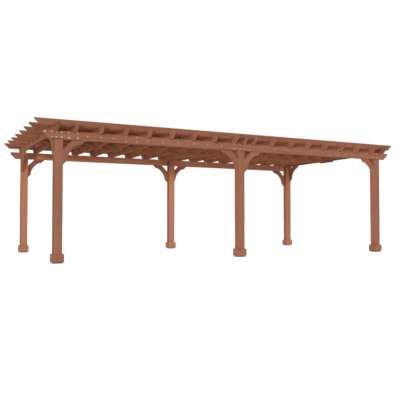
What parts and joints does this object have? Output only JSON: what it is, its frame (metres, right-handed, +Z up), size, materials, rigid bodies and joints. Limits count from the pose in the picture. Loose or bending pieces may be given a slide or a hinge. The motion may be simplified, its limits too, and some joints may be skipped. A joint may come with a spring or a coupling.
{
  "type": "wooden pergola",
  "caption": "Free-standing rectangular timber pergola: square posts with boxed feet, bolted edge beams, curved corner braces, and an open roof of notched rafters and purlins.",
  "frame": {"origin": "centre of the pergola's plan, on the ground under the posts", "axes": "+X along the length to the right as seen from the front, +Y from the front row of posts to the back row, +Z up"},
  "size_m": [7.82, 3.902, 2.37],
  "materials": {
    "post_wood": "satin red-brown stain",
    "collar_wood": "satin red-brown stain",
    "beam_wood": "satin red-brown stain",
    "brace_wood": "satin red-brown stain",
    "rafter_wood": "satin red-brown stain",
    "purlin_wood": "satin red-brown stain",
    "bolt_steel": "dull galvanised"
  },
  "bodies": {
    "root": {"post_front_left": "post_wood", "post_front_middle": "post_wood", "post_front_right": "post_wood", "post_back_left": "post_wood", "post_back_middle": "post_wood", "post_back_right": "post_wood", "collars_front": "collar_wood", "collars_back": "collar_wood", "beam_front_outer": "beam_wood", "beam_front_inner": "beam_wood", "beam_back_outer": "beam_wood", "beam_back_inner": "beam_wood", "braces_front": "brace_wood", "braces_back": "brace_wood", "braces_left_end": "brace_wood", "braces_right_end": "brace_wood", "rafter_01": "rafter_wood", "rafter_02": "rafter_wood", "rafter_03": "rafter_wood", "rafter_04": "rafter_wood", "rafter_05": "rafter_wood", "rafter_06": "rafter_wood", "rafter_07": "rafter_wood", "rafter_08": "rafter_wood", "rafter_09": "rafter_wood", "rafter_10": "rafter_wood", "rafter_11": "rafter_wood", "rafter_12": "rafter_wood", "rafter_13": "rafter_wood", "rafter_14": "rafter_wood", "rafter_15": "rafter_wood", "rafter_16": "rafter_wood", "rafter_17": "rafter_wood", "rafter_18": "rafter_wood", "rafter_19": "rafter_wood", "rafter_splices": "rafter_wood", "purlin_1": "purlin_wood", "purlin_2": "purlin_wood", "purlin_3": "purlin_wood", "purlin_4": "purlin_wood", "purlin_5": "purlin_wood", "purlin_6": "purlin_wood", "purlin_7": "purlin_wood", "purlin_8": "purlin_wood"}
  },
  "joints": []
}
